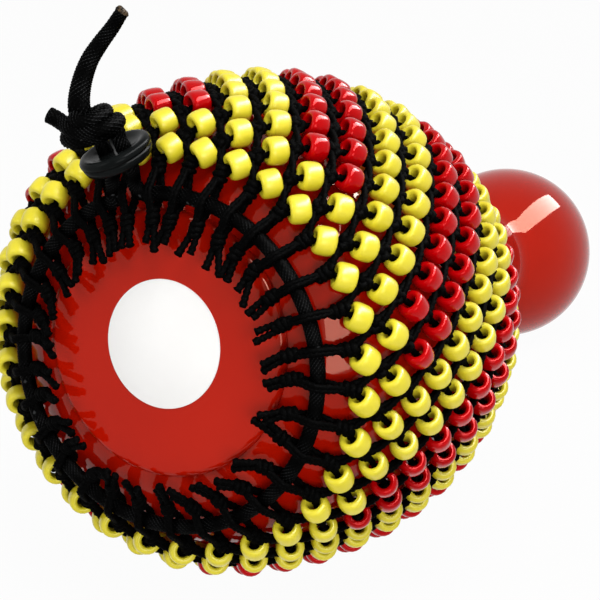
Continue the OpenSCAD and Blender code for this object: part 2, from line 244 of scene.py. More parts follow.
def smooth_path(knots, spacing):
    """Evenly spaced points on a smooth curve through the given ones."""
    p = np.asarray(knots, float)
    p = np.vstack([2 * p[0] - p[1], p, 2 * p[-1] - p[-2]])
    line = []
    for a, b, c, d in zip(p, p[1:], p[2:], p[3:]):
        for t in np.linspace(0, 1, CURVE_STEPS, endpoint=False):
            square, cube = 2 * a - 5 * b + 4 * c - d, 3 * b - a - 3 * c + d
            line.append(0.5 * (2 * b + (c - a) * t + square * t**2 + cube * t**3))
    line = np.vstack([line, p[-2]])
    run = np.r_[0, np.cumsum(np.linalg.norm(np.diff(line, axis=0), axis=1))]
    stops = np.linspace(0, run[-1], max(3, int(round(run[-1] / spacing)) + 1))
    return np.c_[tuple(np.interp(stops, run, line[:, k]) for k in range(3))]


def ring_faces(rings, sides, closed):
    """Four-sided faces between each ring of points and the next."""
    faces = []
    for i in range(rings if closed else rings - 1):
        p, q = i * sides, (i + 1) % rings * sides
        faces += [(p + k, p + (k + 1) % sides, q + (k + 1) % sides, q + k) for k in range(sides)]
    return faces


print("a bend of 3 points:", len(smooth_path([(0, 0, 0), (5, 0, 0), (5, 5, 0)], 1)), "points 1 mm apart")

# %% Cords along a path
BRAID_CARRIERS, BRAID_CELL, BRAID_RISE, BRAID_SIDES, BRAID_STEP = 6, 1.5, 0.22, 48, 0.36
PLY_PITCH, PLY_RISE, PLY_STEP = 1.8, 0.15, 0.5
ANY_SIDE = (0.31, 0.52, 0.79)


def cross_sections(path, closed, broad):
    """Two directions across the path at each of its points, with no twist between neighbours."""
    step = np.roll(path, -1, 0) - np.roll(path, 1, 0) if closed else np.gradient(path, axis=0)
    tangent = step / np.linalg.norm(step, axis=1)[:, None]
    normal = np.asarray(broad, float)
    normals = []
    for t in tangent:
        normal = unit(normal - t * (normal @ t))
        normals.append(normal)
    normals = np.array(normals)
    sideways = np.cross(tangent, normals)
    turn = np.zeros(len(path))
    if closed:
        back = unit(normals[-1] - tangent[0] * (normals[-1] @ tangent[0]))
        turn = -np.linspace(0, 1, len(path)) * math.atan2(back @ sideways[0], back @ normals[0])
    return normals, sideways, turn


def tube(path, radius, sides=8, closed=False, braid=False, ply=False, wide=1.0, broad=ANY_SIDE):
    """Tube of points and faces along a path; wide makes it a flat cord, with its broad side along broad."""
    path = np.asarray(path, float)
    n = len(path)
    normals, sideways, turn = cross_sections(path, closed, broad)
    v = np.linspace(0, 2 * math.pi, sides, endpoint=False)[None, :]
    r = np.broadcast_to(np.asarray(radius, float), (n,))[:, None] * np.ones_like(v)
    run = np.r_[0, np.cumsum(np.linalg.norm(np.diff(path, axis=0), axis=1))][:, None] * math.pi
    if ply:
        r = r * (1 + PLY_RISE * np.cos(2 * v - 2 * run / PLY_PITCH))
    if braid:
        run = run / BRAID_CELL
        crossing = np.sin(BRAID_CARRIERS * v + run) * np.sin(BRAID_CARRIERS * v - run)
        r = r * (1 + BRAID_RISE * (np.sqrt(np.abs(crossing)) - 0.5))
    x, y = np.broadcast_to(wide, (n,))[:, None] * r * np.cos(v), r * np.sin(v)
    c, k = np.cos(turn)[:, None], np.sin(turn)[:, None]
    points = (path[:, None, :] + (x * c - y * k)[..., None] * normals[:, None, :]
              + (x * k + y * c)[..., None] * sideways[:, None, :]).reshape(-1, 3)
    faces = ring_faces(n, sides, closed)
    if not closed:
        faces += [tuple(range(sides))[::-1], tuple(range((n - 1) * sides, n * sides))]
    return points, faces


print("braid:", 2 * BRAID_CARRIERS, "cells round the cord, each", BRAID_CELL, "mm long")

# %% Turned shapes and copies
def turned(profile, sides, loop=False):
    """Shape turned about the third axis; a profile that isn't a loop starts and ends on the axis."""
    v = np.linspace(0, 2 * math.pi, sides, endpoint=False)
    body = profile if loop else profile[1:-1]
    points = np.array([(r * math.cos(a), r * math.sin(a), z) for r, z in body for a in v])
    faces = ring_faces(len(body), sides, loop)
    if not loop:
        first, last = len(points), len(points) + 1
        points = np.vstack([points, (0, 0, profile[0][1]), (0, 0, profile[-1][1])])
        end = (len(body) - 1) * sides
        faces += [(first, (k + 1) % sides, k) for k in range(sides)]
        faces += [(last, end + k, end + (k + 1) % sides) for k in range(sides)]
    return points, faces


def copy_of(shape, place, axes, size=1.0):
    """A copy of a shape: axes are the directions of its own three axes."""
    return np.asarray(place) + (shape[0] * size) @ np.asarray(axes), shape[1]


print("helpers for shapes ready")

# %% [markdown]
# A piece is made by joining its shapes into one smooth mesh. It rides on the
# same body as the solid that it stands for, and it names that solid, so that
# the solid no longer shows.

# %% Helper that makes a piece
def make_piece(name, shapes, finish, body, nodes):
    """One smooth mesh of shapes in gourd millimetres, in place of the named solids."""
    points, faces, count = [], [], 0
    for shape_points, shape_faces in shapes:
        points.append(shape_points)
        faces += [tuple(i + count for i in f) for f in shape_faces] if count else shape_faces
        count += len(shape_points)
    mesh = bpy.data.meshes.new(name)
    mesh.from_pydata(to_row(np.vstack(points)).tolist(), [], faces)
    mesh.shade_smooth()
    mesh.materials.append(finish)
    piece = bpy.data.objects.new(name, mesh)
    bpy.context.scene.collection.objects.link(piece)
    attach(piece, body)
    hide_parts(*nodes)
    return piece


print("helper for pieces ready")

# %% [markdown]
# ## Finishes
# There are few materials on a cabasa: a polished gel coat, moulded plastic in
# the beads and the button, black cord and a paper label. Each gets a node
# material with a little uneven colour and a fine bump, at the scale that the
# real surface has. Small helpers add these to any shader.

# %% Helpers for finishes
def new_finish(name, colour, roughness, shine=0.5):
    """A node material, with its tree and its shader."""
    material = bpy.data.materials.new(name)
    material.use_nodes = True
    shader = material.node_tree.nodes["Principled BSDF"]
    shader.inputs["Base Color"].default_value = (*colour, 1)
    shader.inputs["Roughness"].default_value = roughness
    shader.inputs["Specular IOR Level"].default_value = shine
    return material, material.node_tree, shader


def noise(tree, scale, detail=4.0):
    """Noise in metres of the piece's own place, so that scale is in waves per metre."""
    place = tree.nodes.new("ShaderNodeTexCoord")
    texture = tree.nodes.new("ShaderNodeTexNoise")
    texture.inputs["Scale"].default_value = scale
    texture.inputs["Detail"].default_value = detail
    tree.links.new(place.outputs["Object"], texture.inputs["Vector"])
    return texture.outputs["Fac"]


def two_tone(tree, shader, factor, dark, light, low=0.35, high=0.65):
    """Colour that goes from dark to light as the factor rises."""
    ramp = tree.nodes.new("ShaderNodeValToRGB")
    first, last = ramp.color_ramp.elements
    first.position, last.position = low, high
    first.color, last.color = (*dark, 1), (*light, 1)
    tree.links.new(factor, ramp.inputs["Fac"])
    tree.links.new(ramp.outputs["Color"], shader.inputs["Base Color"])


def raised(tree, shader, height, depth, strength=1.0):
    """Bump of a real depth in metres."""
    bump = tree.nodes.new("ShaderNodeBump")
    bump.inputs["Strength"].default_value = strength
    bump.inputs["Distance"].default_value = depth
    tree.links.new(height, bump.inputs["Height"])
    tree.links.new(bump.outputs["Normal"], shader.inputs["Normal"])


def uneven_gloss(tree, shader, factor, low, high):
    """Roughness that wanders between two values."""
    spread = tree.nodes.new("ShaderNodeMapRange")
    spread.inputs["To Min"].default_value, spread.inputs["To Max"].default_value = low, high
    tree.links.new(factor, spread.inputs["Value"])
    tree.links.new(spread.outputs["Result"], shader.inputs["Roughness"])


print("helpers for finishes ready")

# %% Gel coat of the gourd
gel_coat, tree, shader = new_finish("red_gel_coat", (0.42, 0.006, 0.0006), 0.1, shine=0.33)
two_tone(tree, shader, noise(tree, 14), (0.395, 0.005, 0.0004), (0.445, 0.007, 0.0008))
uneven_gloss(tree, shader, noise(tree, 60), 0.03, 0.07)
raised(tree, shader, noise(tree, 60, 1.0), 0.00002, 0.08)
shader.inputs["Specular Tint"].default_value = (1.0, 0.55, 0.4, 1)
print("finish:", gel_coat.name)

# %% Plastic of the beads
def bead_plastic(name, dark, light, gloss, tint):
    """Moulded plastic whose shade differs a little from bead to bead."""
    material, tree, shader = new_finish(name, light, gloss)
    lump = tree.nodes.new("ShaderNodeNewGeometry")
    two_tone(tree, shader, lump.outputs["Random Per Island"], dark, light, 0.0, 1.0)
    uneven_gloss(tree, shader, noise(tree, 900), gloss * 0.8, gloss * 1.3)
    raised(tree, shader, noise(tree, 500, 1.0), 0.00006, 0.25)
    shader.inputs["Specular Tint"].default_value = (*tint, 1)
    return material


yellow_plastic = bead_plastic("yellow_bead_plastic", dark=(0.71, 0.605, 0.020), light=(0.79, 0.675, 0.032),
                              gloss=0.33, tint=(1.0, 1.0, 0.8))
red_plastic = bead_plastic("red_bead_plastic", dark=(0.40, 0.0004, 0.0012), light=(0.48, 0.0006, 0.002),
                           gloss=0.12, tint=(1.0, 0.14, 0.14))
print("finishes:", yellow_plastic.name, red_plastic.name)

# %% [markdown]
# Black cord is easily made too grey, because a broad shine lifts all of it.
# So both cords shine very little. On the braid only the crests of the relief,
# which Blender's pointiness finds, are painted lighter, as a painted highlight
# for the glints on the yarns, and they show as small dashes.

# %% Net cord and braid
DEEP_BLACK = (0.001, 0.001, 0.001)
net_cord, tree, shader = new_finish("black_net_cord", DEEP_BLACK, 0.6, shine=0.012)
two_tone(tree, shader, noise(tree, 2600, 2.0), (0.0006, 0.0006, 0.0006), (0.010, 0.0105, 0.011), 0.6, 0.8)
raised(tree, shader, noise(tree, 1500, 2.0), 0.0004, 0.8)

braid_cord, tree, shader = new_finish("black_braid", DEEP_BLACK, 0.33, shine=0.012)
# Painted highlight: the crests of the braid are painted lighter in place of glints on the yarns.
painted_glint_crests = tree.nodes.new("ShaderNodeNewGeometry").outputs["Pointiness"]
two_tone(tree, shader, painted_glint_crests, (0.0004, 0.0004, 0.0004), (0.034, 0.035, 0.036), 0.54, 0.6)
raised(tree, shader, noise(tree, 4000, 1.0), 0.00015, 0.6)
print("finishes:", net_cord.name, braid_cord.name)

# %% Button, melted tip and label
button_plastic, tree, shader = new_finish("black_button_plastic", (0.004, 0.005, 0.005), 0.2, shine=0.03)
two_tone(tree, shader, noise(tree, 300), (0.003, 0.0036, 0.0036), (0.006, 0.007, 0.007))
uneven_gloss(tree, shader, noise(tree, 700), 0.16, 0.3)
raised(tree, shader, noise(tree, 1200, 1.0), 0.00004, 0.3)

melted_tip, tree, shader = new_finish("melted_cord_tip", (0.05, 0.03, 0.015), 0.35, shine=0.08)
two_tone(tree, shader, noise(tree, 900), (0.003, 0.002, 0.0015), (0.13, 0.085, 0.045), 0.4, 0.7)
raised(tree, shader, noise(tree, 1500), 0.0003, 0.6)

label_paper, tree, shader = new_finish("white_label_paper", (0.88, 0.868, 0.85), 0.45)
two_tone(tree, shader, noise(tree, 40), (0.865, 0.852, 0.835), (0.895, 0.884, 0.868))
raised(tree, shader, noise(tree, 2500, 2.0), 0.00003, 0.3)
print("finishes:", button_plastic.name, melted_tip.name, label_paper.name)

# %% [markdown]
# ## The standing tail
# The drawstring's ends come out through a button and are tied in one big
# knot. One end is cut short, and the other stands up stiffly from the knot
# and leans to the right. The braid is a hollow sleeve that has gone flat, so
# it looks wide at the knot and narrow at its melted tip, where it has turned.
# The button has a frame of its own: forward, right, and out from the gourd.

# %% The button's frame
STRING_D, STRING_S, STRING_H = 4.2, 13.5, 5.2
BUTTON_COLUMN, BUTTON_LEAN, BUTTON_T, BUTTON_TRAVEL = 9, 25.0, 6.0, 3.0
BUTTON_OUT, BUTTON_FORWARD, BUTTON_SIDE = 15.5, 4.5, 5.8
LEG_GAP = 6.5
string_column = NET_PHASE + BUTTON_COLUMN * COLUMN_STEP
string_place = outline(slipped(STRING_S, 1, string_column), STRING_H)


def from_string(p):
    """Gourd millimetres of a point given as forward, right and outward from the drawstring."""
    lean, turn = math.radians(BUTTON_LEAN), math.radians(180 - string_column)
    x = string_place[0] - p[0] * math.sin(lean) + p[2] * math.cos(lean)
    y = p[1]
    z = string_place[1] - p[0] * math.cos(lean) - p[2] * math.sin(lean)
    return np.array([x * math.cos(turn) - y * math.sin(turn), x * math.sin(turn) + y * math.cos(turn), z])


def from_button(p):
    """The same from the button's axis, which hangs forward and to the right."""
    return from_string((p[0] + BUTTON_FORWARD, p[1] + BUTTON_SIDE, p[2]))


button_axes = np.array([from_button(e) - from_button((0, 0, 0)) for e in np.eye(3)])
knot_foot = BUTTON_OUT + BUTTON_T / 2 + BUTTON_TRAVEL


def knot_path(route):
    """A smooth path of points given as forward, right and out from the knot's foot."""
    return smooth_path([from_button((x, y, z + knot_foot)) for x, y, z in route], BRAID_STEP)


print("button at", to_row(from_button((0, 0, BUTTON_OUT))).round(4))

# %% Make the tail
TAIL_ROUTE = [(0, -5.4, 8.6), (-0.2, -4.9, 11.5), (-2, -3.8, 15), (-4.5, -1.6, 19), (-7, 1.5, 22.7),
              (-9.5, 5.6, 25.8), (-11.5, 10.2, 28.7), (-13, 14.8, 32), (-13.5, 15.8, 32.6)]
TAIL_RADII, TAIL_WIDE = (2.5, 1.8), (1.42, 1.04)
TIP_SWELL, TIP_RINGS = (1.06, 1.08, 1.04, 0.92, 0.7), 3
tail_line = knot_path(TAIL_ROUTE)
tail_radius = np.linspace(*TAIL_RADII, len(tail_line))
tail_radius[-len(TIP_SWELL):] *= TIP_SWELL
tail_tube = tube(tail_line, tail_radius, BRAID_SIDES, braid=True,
                 wide=np.linspace(*TAIL_WIDE, len(tail_line)), broad=button_axes[1])
tail = make_piece("standing_tail", [tail_tube], braid_cord, "net", ["drawstring_tail"])
tail.data.materials.append(melted_tip)
for face in tail.data.polygons:
    if max(face.vertices) >= (len(tail_line) - TIP_RINGS) * BRAID_SIDES:
        face.material_index = 1

# %% [markdown]
# ## Beads
# Pony beads are short barrels with a wide hole and soft edges. One bead is
# turned from a closed profile and copied to every place on the net, with its
# hole along the cord. The hole is wider than the cord, so each bead tips
# outward at the end nearer the base, and leans a little its own way, as loose
# beads do. A fixed seed keeps the leaning the same in every run.

# %% Make the beads
BEAD_PROFILE = [(2.0, -2.2), (2.2, -2.85), (2.65, -3.2), (3.25, -3.22), (3.8, -2.98),
                (4.2, -2.45), (4.41, -1.55), (4.48, 0.0), (4.41, 1.55), (4.2, 2.45),
                (3.8, 2.98), (3.25, 3.22), (2.65, 3.2), (2.2, 2.85), (2.0, 2.2)]
BEAD_SIDES, BEAD_LIFT, BEAD_LEAN, BEAD_TILT = 20, 0.9, 0.09, 0.22
bead_shape = turned(BEAD_PROFILE[::-1], BEAD_SIDES, loop=True)
chance = random.Random(7)


def bead_copy(row, column):
    """A bead halfway between two knots, on the strand that joins them."""
    low, high = knot_at(row, column), knot_at(row + 1, column - 1)
    s = FIRST_KNOT_S + (row + 0.5) * ROW_PITCH
    out = outward(s, column_angle(row, column) - COLUMN_STEP / 4, 1 - (row + 0.5) / BEAD_ROWS)
    hole = unit(high - low) - BEAD_TILT * out
    hole = unit(hole + BEAD_LEAN * np.array([chance.uniform(-1, 1) for _ in range(3)]))
    sideways = unit(np.cross(hole, out))
    place = (low + high) / 2 + BEAD_LIFT * out
    return copy_of(bead_shape, place, [np.cross(sideways, hole), sideways, hole])


for row in range(BEAD_ROWS):
    for red in (False, True):
        chosen = [c for c in range(COLUMNS) if is_red(row, c) == red]
        if chosen:
            colour, plastic = ("red", red_plastic) if red else ("yellow", yellow_plastic)
            make_piece(f"{colour}_pony_beads_{row + 1:02d}", [bead_copy(row, c) for c in chosen], plastic,
                       "net", [f"{colour}_beads_{row + 1:02d}"])
print("beads:", BEAD_ROWS * COLUMNS, "copies of", len(bead_shape[1]), "faces")

# %% [markdown]
# ## Knots and cords of the net
# The net is tied from black cord: a small lumpy knot where two cords meet,
# and strands to its neighbours. A closed trefoil line, drawn tight, looks
# like such a knot from every side. A tie at the end of a cord is longer: it
# is a line that winds round like a spring. Both are copied with a different
# turn at each place. The strands bow a little, because a loose net is never
# taut. Where a strand carries no bead, it is doubled.

# %% Make one small knot and one tie
CORD_R, KNOT_SIZE = 1.0, 1.22
KNOT_SCALE, KNOT_CORD, KNOT_LEAN = 0.53, 0.95, 0.35
TIE_LONG, TIE_SWELL, TIE_WIND, TIE_CORD = 4.8, 1.15, 20, 1.05
KNOT_STEPS, TIE_STEPS, SIDE_RISE = 30, 40, 0.4
turns = np.linspace(0, 2 * math.pi, KNOT_STEPS, endpoint=False)
trefoil = np.c_[np.sin(turns) + 2 * np.sin(2 * turns), np.cos(turns) - 2 * np.cos(2 * turns),
                -1.5 * np.sin(3 * turns)]
small_knot = tube(trefoil * KNOT_SCALE, KNOT_CORD, closed=True, ply=True)
wrap = np.linspace(0, 1, TIE_STEPS)
# The spring is fullest in its middle and draws in at both ends.
wrap_r = TIE_SWELL * np.sin(math.pi * (0.08 + 0.84 * wrap)) ** 0.4
spring = np.c_[TIE_LONG * (wrap - 0.5), wrap_r * np.cos(TIE_WIND * wrap), wrap_r * np.sin(TIE_WIND * wrap)]
barrel_knot = tube(spring, TIE_CORD, ply=True)


def any_side():
    """A direction that is turned by chance."""
    spin = chance.uniform(0, 2 * math.pi)
    return math.cos(spin), math.sin(spin), SIDE_RISE


def knot_copy(place, out, size=1.0):
    """A small knot that lies on its outward direction, turned by chance."""
    x = unit(np.cross(np.cross(out, any_side()), out))
    z = unit(np.asarray(out) + KNOT_LEAN * chance.uniform(-1, 1) * x)
    x = unit(x - z * (x @ z))
    return copy_of(small_knot, place, [x, np.cross(z, x), z], size)


def tie_copy(place, lengthwise, size=1.0):
    """A knot of three wraps that lies along its cord, turned by chance."""
    x = unit(lengthwise)
    y = unit(np.cross(x, any_side()))
    return copy_of(barrel_knot, place, [x, y, np.cross(x, y)], size)


print("small knot:", len(small_knot[1]), "faces, tie:", len(barrel_knot[1]), "faces")

# %% Make the rows of the net
DOUBLE_GAP, CROSS_RISE, BEAD_STRAND_BOW = 0.85, 0.7, 0.15
KNOT_VARIES, DOUBLE_BOW, STRAND_ASIDE = (0.92, 1.1), (0.2, 0.9), (-0.5, 0.5)


def strand_copy(a, b, out, bow):
    """A strand from knot to knot that bows outward, and a little aside."""
    aside = np.cross(unit(b - a), out) * chance.uniform(*STRAND_ASIDE)
    middle = (a + b) / 2 + bow * np.asarray(out) + aside
    t = np.linspace(0, 1, 2 + int(np.linalg.norm(b - a) / PLY_STEP))[:, None]
    pull = 2 * middle - (a + b) / 2
    return tube((1 - t) ** 2 * a + 2 * t * (1 - t) * pull + t**2 * b, CORD_R, ply=True)


def pair_copy(a, b, out, bow, gap, radius, sides=8, step=PLY_STEP):
    """Two strands from knot to knot that cross over each other."""
    aside = np.cross(unit(b - a), out)
    t = np.linspace(0, 1, 2 + int(np.linalg.norm(b - a) / step))[:, None]
    middle = a + (b - a) * t + bow * np.asarray(out) * np.sin(math.pi * t)
    turn = gap * (aside * np.cos(math.pi * t) + CROSS_RISE * np.asarray(out) * np.sin(math.pi * t))
    return [tube(middle + side * turn, radius, sides, ply=True) for side in (-1, 1)]


for row in range(1, BEAD_ROWS + 1):
    shapes = []
    for c in range(COLUMNS):
        here, out = knot_at(row, c), knot_out(row, c)
        shapes.append(knot_copy(here, out, KNOT_SIZE * chance.uniform(*KNOT_VARIES)))
        bow = chance.uniform(*DOUBLE_BOW)
        shapes += pair_copy(knot_at(row - 1, c), here, out, bow, DOUBLE_GAP, CORD_R)
        shapes.append(strand_copy(knot_at(row - 1, c + 1), here, out, BEAD_STRAND_BOW))
    make_piece(f"net_row_{row:02d}", shapes, net_cord, "net", [f"net_knots_{row:02d}"])
print("net rows:", BEAD_ROWS, "with", COLUMNS, "knots each")

# %% [markdown]
# ## Tassels
# At its lower edge the net is looped over the drawstring: two doubled strands
# leave each last knot, one goes over the drawstring and one under it, and
# both are tied off in a second knot. The cut ends stand out over the base. No
# two tassels are alike, so each end gets its own splay, bend and length, and
# a slightly swollen tip where the cord was cut. They also droop, each by its
# own share.

# %% Helper for one cut end
TASSEL_LEN, TIE_HALF, END_GAP = 9.0, 1.8, 0.9
END_RADII = np.r_[np.full(12, 1.1), 1.13, 1.17, 1.22, 1.28, 1.3, 1.0]
SPLAY, LIFT, REACH, CURL, STOUT = (-3, 10), (-2, 12), (0.65, 1.02), (-1.2, 1.2), (0.94, 1.06)


def cut_end(tie, lead, inward, aside, out, hang, side):
    """One of a tassel's two ends: it starts at the tie and goes its own way."""
    splay = math.radians(chance.uniform(*SPLAY)) * side
    lift = math.radians(chance.uniform(*LIFT))
    reach, curl = TASSEL_LEN * chance.uniform(*REACH), chance.uniform(*CURL)
    aim = unit(inward * math.cos(splay) + aside * math.sin(splay) + out * math.sin(lift) + hang)
    start = tie + lead * TIE_HALF + aside * side * END_GAP
    line = [start + aim * reach * t + aside * curl * t * t for t in np.linspace(0, 1, len(END_RADII))]
    return tube(line, END_RADII * chance.uniform(*STOUT), ply=True)


print("cut ends: up to", TASSEL_LEN, "mm long,", len(END_RADII), "rings each")

# %% Make the tassels
TASSEL_REACH, TASSEL_H, LOOP_GAP, LOOP_R = 7.5, 6.2, 0.55, 0.88
FIRST_TIE_SIZE, SECOND_TIE_SIZE = 1.2, 1.15
TIE_ASIDE, DROOP, SWING = (-1.4, 1.4), (0.1, 1.0), (-0.25, 0.25)
STRAND_R, PASS_GAP = 0.85, 0.65
PASS_H = STRING_D / 2 + STRAND_R + PASS_GAP


def tassel_copy(column):
    """All cords of one tassel: two ties, four loops and two cut ends."""
    angle = column_angle(0, column)
    first = knot_at(0, column)
    over, under = (on_gourd(STRING_S, STRING_H + side * PASS_H, angle) for side in (1, -1))
    out, inward = unit(over - under), unit(over + under - 2 * first)
    aside = np.cross(out, inward)
    tie = on_gourd(STRING_S - TASSEL_REACH, TASSEL_H, angle) + aside * chance.uniform(*TIE_ASIDE)
    inward = unit(tie - (over + under) / 2)
    fall = np.array([0, -1, 0]) + out * out[1]
    droop = chance.uniform(*DROOP)
    hang = droop * (fall - inward * (fall @ inward)) + aside * chance.uniform(*SWING)
    lead = unit(inward + 0.5 * hang)
    shapes = [tie_copy(first, inward, FIRST_TIE_SIZE), tie_copy(tie, lead, SECOND_TIE_SIZE)]
    for side, bend in ((1, over), (-1, under)):
        for edge in (-LOOP_GAP, LOOP_GAP):
            shift, proud = edge * aside, side * out
            route = [first + 0.8 * proud, (first + bend) / 2 + 0.5 * proud + shift, bend + shift,
                     (bend + tie) / 2 + 0.3 * proud + shift, tie + 0.5 * proud]
            shapes.append(tube(smooth_path(route, PLY_STEP), LOOP_R, ply=True))
        shapes.append(cut_end(tie, lead, inward, aside, out, hang, side))
    return shapes


tassels = [shape for c in range(COLUMNS) for shape in tassel_copy(c)]
make_piece("tassels", tassels, net_cord, "net", ["tassel_row"])
print("tassels:", COLUMNS, "from", len(tassels), "shapes")

# %% [markdown]
# ## The gathered end
# Behind the last beads the strands run in pairs to the neck, tied together at
# a few places, and end on a collar cord. The two strands of a pair cross over
# each other between the ties, as hand-tied cords do. There are hundreds of
# them, and they are thin, so they have fewer sides than the other cords.

# %% Make the gathering strands
COLLAR_D, CLEARANCE = 4.4, 0.35
PAIR_R, PAIR_GAP, PAIR_SIDES, PAIR_STEP, PAIR_TIE_SIZE = 0.72, 0.62, 6, 0.6, 0.75
collar_h = COLLAR_D / 2 + CLEARANCE


def gather_at(k, column):
    """Tie k of a gathered pair; the last one lies on the collar."""
    angle = column_angle(BEAD_ROWS, column)
    if k > GATHER_KNOTS:
        return around(outline(collar_s, collar_h), angle)
    return around(outline(last_row_s + k * gather_pitch, NET_H), angle)


gathered = []
for c in range(COLUMNS):
    for k in range(GATHER_KNOTS + 1):
        a, b = gather_at(k, c), gather_at(k + 1, c)
        out = outward(last_row_s + (k + 0.5) * gather_pitch, column_angle(BEAD_ROWS, c), 0)
        gathered += pair_copy(a, b, out, 0, PAIR_GAP, PAIR_R, PAIR_SIDES, PAIR_STEP)
        if k:
            gathered.append(tie_copy(a, b - a, PAIR_TIE_SIZE))
make_piece("gathering_strands", gathered, net_cord, "net", ["gather_strands"])
print("gathered end:", len(gathered), "shapes")

# %% Make the collar
COLLAR_STEPS = 400
collar_r = NECK_R + collar_h
collar_line = [(-collar_r * math.cos(a), collar_r * math.sin(a), NECK_D)
               for a in np.linspace(0, 2 * math.pi, COLLAR_STEPS, endpoint=False)]
collar_tube = tube(collar_line, COLLAR_D / 2, BRAID_SIDES, closed=True, braid=True)
make_piece("neck_cord", [collar_tube], braid_cord, "net", ["neck_collar"])
print("collar:", len(collar_line), "rings")

# %% [markdown]
# ## The drawstring
# One braided cord goes out through the button, round the edge of the base
# inside all the loops, and back through the button. It is a single tube with
# the braid raised on its skin, so the diamonds follow every bend.

# %% Make the drawstring
RING_STEPS, FULLER, SPARE_ANGLE = 60, 0.1, 1
LEG_SPLAY, LEG_PAST, LEG_BELOW, LEG_FOOT_D, LEG_FOOT_H = 0.8, 1.5, 0.5, 0.2, 3.2
bend_angle = COLUMN_STEP - math.degrees((STRAND_R + STRING_D / 2) / string_place[0]) - SPARE_ANGLE
ring_turn = (360 - 2 * bend_angle) / RING_STEPS
ring = [on_gourd(STRING_S, STRING_H, string_column + bend_angle + k * ring_turn)
        for k in range(RING_STEPS + 1)]


def string_leg(side):
    """From the knot straight through the button, then back to the ring."""
    hole, foot = BUTTON_SIDE + side * LEG_GAP / 2, side * (LEG_GAP / 2 + LEG_SPLAY)
    low = BUTTON_OUT - BUTTON_T / 2 - LEG_BELOW
    straight = [(BUTTON_FORWARD, hole, z) for z in (knot_foot + LEG_PAST, BUTTON_OUT, low)]
    halfway = (BUTTON_FORWARD * 0.55, hole * 0.55 + foot * 0.45, low * 0.6 + 1.3)
    return [from_string(p) for p in straight + [halfway, (LEG_FOOT_D, foot, LEG_FOOT_H)]]


string_line = smooth_path(string_leg(-1) + ring + string_leg(1)[::-1], BRAID_STEP)
string_tube = tube(string_line, STRING_D / 2 + FULLER, BRAID_SIDES, braid=True)
make_piece("draw_cord", [string_tube], braid_cord, "net", ["drawstring"])
print("drawstring:", len(string_line), "rings")

# %% [markdown]
# ## The stop knot and its stub
# Both ends are tied in one overhand knot above the button. It is drawn as
# two routes that wrap round each other: one leads from the right hole to the
# tail, the other from the left hole to the short stub.

# %% Make the stop knot
STOP_CORD_R = 2.35
RIGHT_ROUTE = [(0, 3.25, -0.2), (0.3, 3.8, 1.9), (2.2, 2.2, 2.9), (3.8, -2, 2.8), (4.3, -8, 2.9),
               (2.3, -11.9, 3.4), (-1.7, -12.4, 4.2), (-4.4, -9.2, 5.3), (-4.7, -4, 6.4),
               (-3.7, -0.2, 7.1), (-1.2, 2.1, 7.5), (1.9, 1.8, 7.6), (4, -0.8, 7.6),
               (3.9, -4.2, 8.2), (2.2, -6.6, 9.8)]
LEFT_ROUTE = [(0, -3.25, -0.2), (-0.7, -4.0, 1.9), (-2.8, -2.8, 2.9), (-4.1, -0.6, 3), (-3.4, 2.8, 3.5),
              (-0.7, 4.9, 4), (2.7, 4.4, 4.5), (4.8, 1.2, 4.8), (5.1, -3.4, 5.3), (4.3, -7.6, 6.6),
              (2.6, -10.6, 8.6), (2.1, -12.6, 10.6), (2, -14.6, 12.4)]
for name, route, node in (("stop_knot", RIGHT_ROUTE, "drawstring_knot"),
                          ("cut_stub", LEFT_ROUTE, "drawstring_stub")):
    knot_tube = tube(knot_path(route), STOP_CORD_R, BRAID_SIDES, braid=True)
    make_piece(name, [knot_tube], braid_cord, "net", [node])
print("stop knot made, foot at", round(knot_foot, 2), "mm out")

# %% [markdown]
# ## The button
# The button is a moulded black disc with a dished top, a full lip and a line
# round its edge where the mould parted. It is turned from a profile, and two
# holes are cut through it for the cord with a boolean.

# %% Make the button
BUTTON_PROFILE = [(0, -3.0), (8.6, -3.0), (9.9, -2.75), (10.7, -2.0), (11.15, -0.8), (11.2, -0.3),
                  (10.8, -0.12), (10.85, 0.1), (11.35, 0.3), (11.6, 1.0), (11.5, 1.9), (11.0, 2.6),
                  (10.2, 2.95), (9.2, 2.85), (7.8, 2.25), (5.5, 1.75), (0, 1.6)]
BUTTON_SIDES = 72
disc = copy_of(turned(BUTTON_PROFILE, BUTTON_SIDES), from_button((0, 0, BUTTON_OUT)), button_axes)
button = make_piece("cord_button", [disc], button_plastic, "button", ["drawstring_button"])
print("button disc:", len(button.data.polygons), "faces")

# %% Cut the button's holes
HOLE_PLAY, HOLE_SIDES = 0.38, 28
hole_r = STRING_D / 2 + HOLE_PLAY
punch = turned([(0, -BUTTON_T), (hole_r, -BUTTON_T), (hole_r, BUTTON_T), (0, BUTTON_T)], HOLE_SIDES)
for side in (-1, 1):
    points, faces = copy_of(punch, from_button((0, side * LEG_GAP / 2, BUTTON_OUT)), button_axes)
    punch_mesh = bpy.data.meshes.new("hole_punch")
    punch_mesh.from_pydata(to_row(points).tolist(), [], faces)
    punch_piece = bpy.data.objects.new("hole_punch", punch_mesh)
    bpy.context.scene.collection.objects.link(punch_piece)
    cut = button.modifiers.new("hole", "BOOLEAN")
    cut.object, cut.operation, cut.solver = punch_piece, "DIFFERENCE", "EXACT"
    bpy.context.view_layer.update()
    depsgraph = bpy.context.evaluated_depsgraph_get()
    finished = bpy.data.meshes.new_from_object(button.evaluated_get(depsgraph))
    button.modifiers.clear()
    button.data = finished
    bpy.data.objects.remove(punch_piece)
print("button:", len(button.data.polygons), "faces")

# %% [markdown]
# ## The gourd, its base and the label
# The gourd is turned from its own outline with a fine step, so that the gel
# coat mirrors the lamps without facets. Its bulb is a ball on a slim throat.
# The base is a separate disc with a rounded rim, and the label is a thin
# white disc in its middle.

